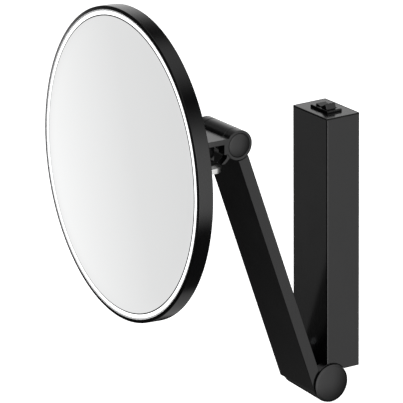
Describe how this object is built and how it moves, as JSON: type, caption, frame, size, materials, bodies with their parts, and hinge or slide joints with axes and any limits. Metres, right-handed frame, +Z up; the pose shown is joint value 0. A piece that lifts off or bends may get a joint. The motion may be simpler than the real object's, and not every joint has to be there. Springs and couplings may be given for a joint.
{
  "type": "extendable shaving mirror",
  "caption": "Round lit shaving mirror on a folding, tilting and swivelling arm, with a rectangular wall column and a rocker switch.",
  "frame": {"origin": "on the wall face of the wall plate, midway between the two wall screw holes", "axes": "+Z up, +X to the right when facing the wall, +Y into the wall; the mirror looks towards -Y"},
  "size_m": [0.2122, 0.1886, 0.2985],
  "materials": {
    "black_coat": "satin black powder coat",
    "black_coat_smooth": "smooth satin black coat on turned caps",
    "black_plastic": "fine moulded texture",
    "switch_plastic": "semi-gloss black",
    "seal_rubber": "matt",
    "steel_zinc": "zinc plated",
    "stainless": "satin stainless",
    "spring_steel": "oiled",
    "bronze": "sintered bearing bronze",
    "brass": "plain",
    "driver_plastic": "moulded light grey",
    "terminal_plastic": "moulded ivory",
    "cable_black": "matt sheath",
    "cable_white": "matt sheath",
    "board_white": "white solder mask",
    "led_yellow": "phosphor window",
    "white_plastic": "diffuse white",
    "opal": "opal satin",
    "foam": "adhesive foam",
    "mirror_silver": "silvered glass"
  },
  "bodies": {
    "column": {"column_housing": "black_coat", "column_top_cap": "black_coat", "top_cap_seal": "seal_rubber", "column_bottom_carrier": "black_coat", "wall_plate": "steel_zinc", "hanger_block": "steel_zinc", "lock_screw": "steel_zinc", "end_fixing_screws": "steel_zinc", "driver_tray": "black_plastic", "led_driver": "driver_plastic", "terminal_block": "terminal_plastic", "terminal_screws": "brass", "column_lead": "cable_black", "switch_housing": "switch_plastic", "switch_contacts": "brass", "switch_leads": "cable_white"},
    "rocker": {"switch_rocker": "switch_plastic"},
    "arm": {"arm_body": "black_coat", "arm_back_cover": "black_coat", "arm_cover_screws": "steel_zinc", "arm_lead": "cable_black", "lower_hinge_shaft": "steel_zinc", "lower_friction_washers": "bronze", "lower_spring_washers": "spring_steel", "lower_hinge_nut": "steel_zinc", "lower_cap_right": "black_coat_smooth", "lower_cap_left": "black_coat_smooth"},
    "fork": {"head_fork": "black_coat", "upper_hinge_shaft": "steel_zinc", "upper_friction_washers": "bronze", "upper_spring_washers": "spring_steel", "upper_hinge_nut": "steel_zinc", "upper_cap_right": "black_coat_smooth", "upper_cap_left": "black_coat_smooth", "fork_lower_plate": "stainless", "fork_screws": "steel_zinc", "swivel_pin": "steel_zinc", "swivel_washers": "bronze"},
    "head": {"swivel_boss": "black_coat", "boss_screws": "steel_zinc", "back_shell": "black_plastic", "back_screws": "steel_zinc", "mirror_carrier": "black_plastic", "glass_pad": "foam", "mirror_glass": "mirror_silver", "rim_ring": "black_coat", "diffuser_ring": "opal", "reflector_ring": "white_plastic", "led_board": "board_white", "leds": "led_yellow", "head_lead": "cable_black"}
  },
  "joints": [
    {"name": "lower_hinge", "type": "hinge", "parent": "column", "child": "arm", "pos_m": [0, -0.0243, -0.098], "axis": [1, 0, 0], "range_deg": [-19.35, 70.65]},
    {"name": "upper_hinge", "type": "hinge", "parent": "arm", "child": "fork", "pos_m": [0, -0.0987, 0.0852], "axis": [1, 0, 0], "range_deg": [-75, 35]},
    {"name": "head_swivel", "type": "hinge", "parent": "fork", "child": "head", "pos_m": [0, -0.1498, 0.08167], "axis": [0, 0.0244, 0.9997], "range_deg": [-55, 65]},
    {"name": "switch_rock", "type": "hinge", "parent": "column", "child": "rocker", "pos_m": [0, -0.0135, 0.0897], "axis": [0, 1, 0], "range_deg": [0, 22]}
  ]
}
